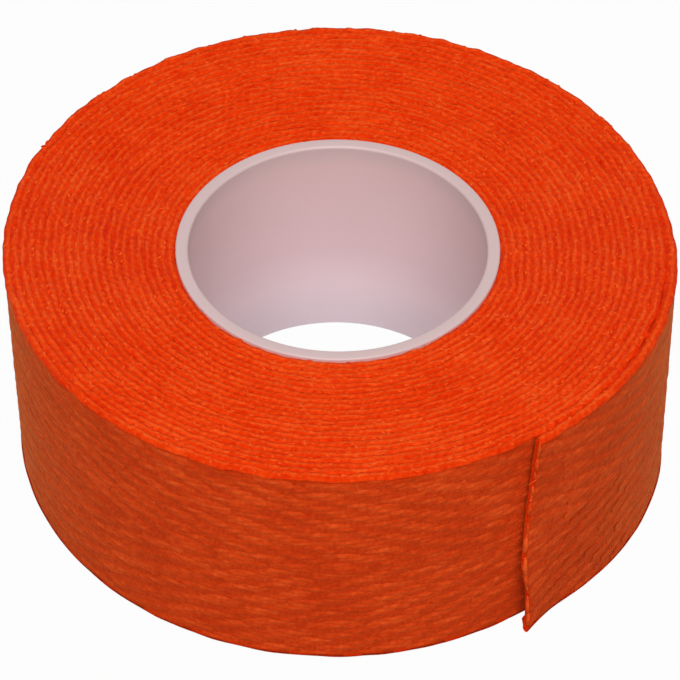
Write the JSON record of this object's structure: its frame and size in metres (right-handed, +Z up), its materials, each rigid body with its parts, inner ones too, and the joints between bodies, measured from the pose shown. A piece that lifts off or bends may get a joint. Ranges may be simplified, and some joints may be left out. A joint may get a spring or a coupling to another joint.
{
  "type": "grip tape roll",
  "caption": "Roll of woven cloth grip tape wound in one flat spiral on a plain plastic core, with its cut end free to peel away from the roll.",
  "frame": {"origin": "on the core's axis, at the plane of the core's lower rim, which the roll stands on", "axes": "+Z up along the core's axis; the loose end lies at the front right, between +X and -Y, and -Y faces the viewer of the picture"},
  "size_m": [0.0536, 0.0533, 0.0212],
  "materials": {
    "core_plastic": "satin white, faintly pink from the tape round it",
    "tape_cloth": "orange herringbone cotton",
    "free_end_cloth": "orange herringbone cotton with a frayed cut edge"
  },
  "bodies": {
    "roll": {"core": "core_plastic", "tape_winding": "tape_cloth"},
    "free_end": {"tape_free_end": "free_end_cloth"}
  },
  "joints": [
    {"name": "peel", "type": "hinge", "parent": "roll", "child": "free_end", "pos_m": [0.02549, -0.00828, 0.0112], "axis": [0, 0, 1], "range_deg": [0, 120]}
  ]
}
